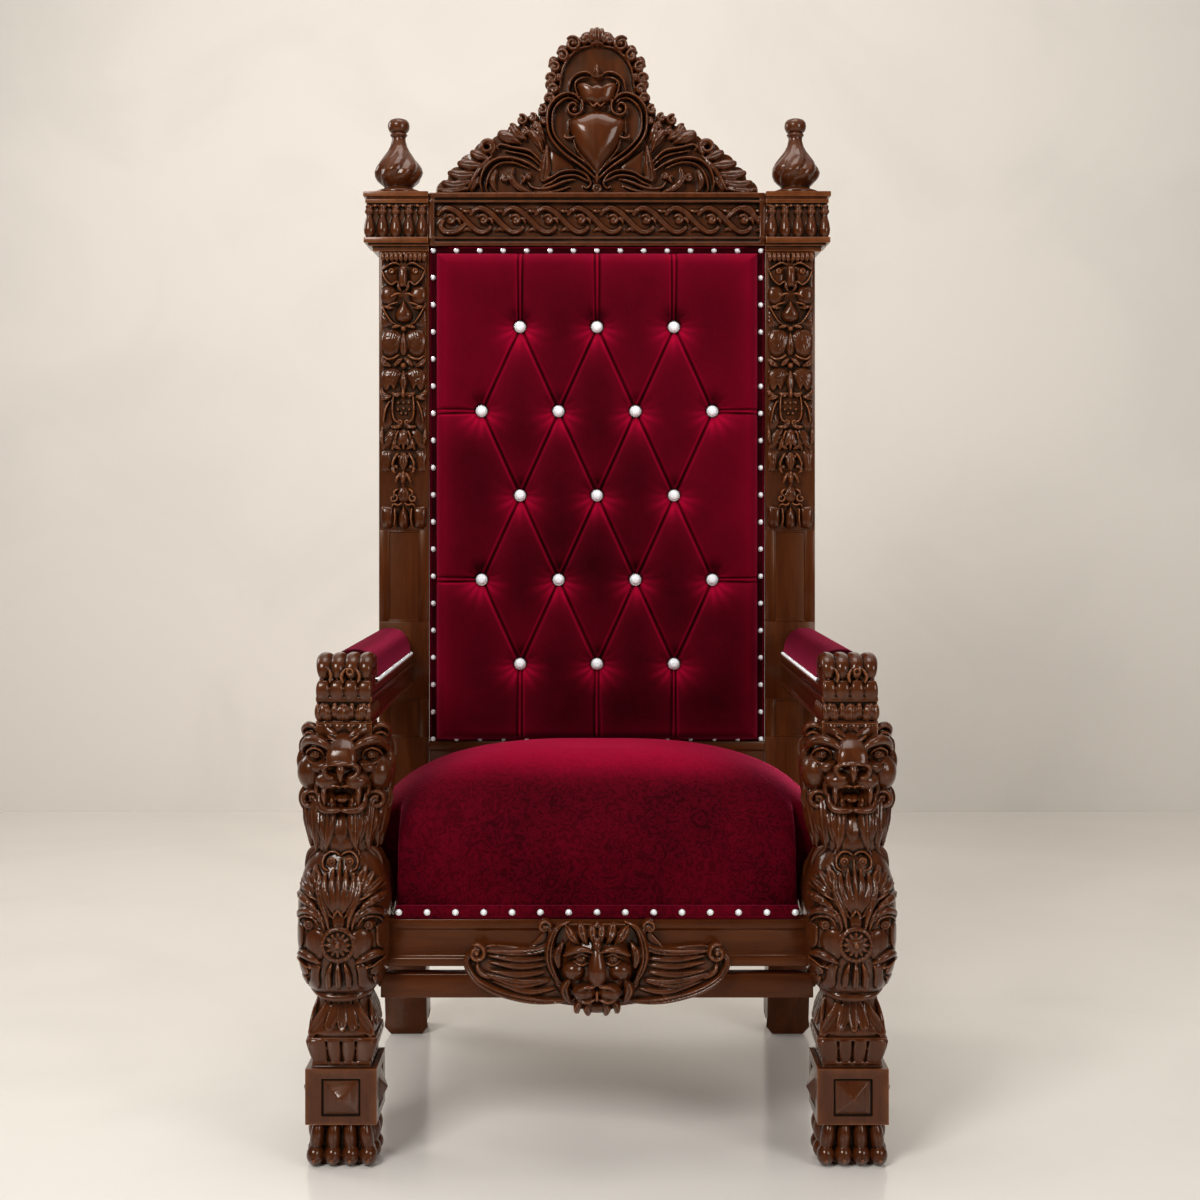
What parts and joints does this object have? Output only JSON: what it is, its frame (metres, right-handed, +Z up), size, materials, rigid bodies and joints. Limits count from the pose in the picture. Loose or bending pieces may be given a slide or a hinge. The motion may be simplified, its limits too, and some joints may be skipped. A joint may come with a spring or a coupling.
{
  "type": "throne chair",
  "caption": "Tall carved hardwood throne with lion-headed front posts, padded arms, a domed velvet seat, a tufted velvet back, urn finials and a pierced crest.",
  "frame": {"origin": "middle of the chair's outline on the floor, between its four feet", "axes": "+Z up; the front of the chair faces -Y; +X is towards the right of someone looking at its front"},
  "size_m": [0.8666, 0.751, 1.7872],
  "materials": {
    "wood": "dark red-brown mahogany stain under a glossy varnish",
    "velvet": "deep crimson velvet with a soft sheen",
    "crystal": "clear faceted crystal over a silver foil"
  },
  "bodies": {
    "root": {"front_leg_left": "wood", "arm_left": "wood", "seat_rail_left": "wood", "lower_rail_left": "wood", "stile_left": "wood", "capital_left": "wood", "finial_left": "wood", "front_leg_right": "wood", "arm_right": "wood", "seat_rail_right": "wood", "lower_rail_right": "wood", "stile_right": "wood", "capital_right": "wood", "finial_right": "wood", "top_rail": "wood", "crest": "wood", "back_lower_rail": "wood", "back_panel": "wood", "seat_rail_front": "wood", "lower_rail_front": "wood", "seat_rail_back": "wood", "lower_rail_back": "wood", "apron_mask": "wood", "arm_pad_left": "velvet", "arm_pad_right": "velvet", "back_pad": "velvet", "seat_pad": "velvet", "button_01": "crystal", "button_02": "crystal", "button_03": "crystal", "button_04": "crystal", "button_05": "crystal", "button_06": "crystal", "button_07": "crystal", "button_08": "crystal", "button_09": "crystal", "button_10": "crystal", "button_11": "crystal", "button_12": "crystal", "button_13": "crystal", "button_14": "crystal", "button_15": "crystal", "button_16": "crystal", "button_17": "crystal"}
  },
  "joints": []
}
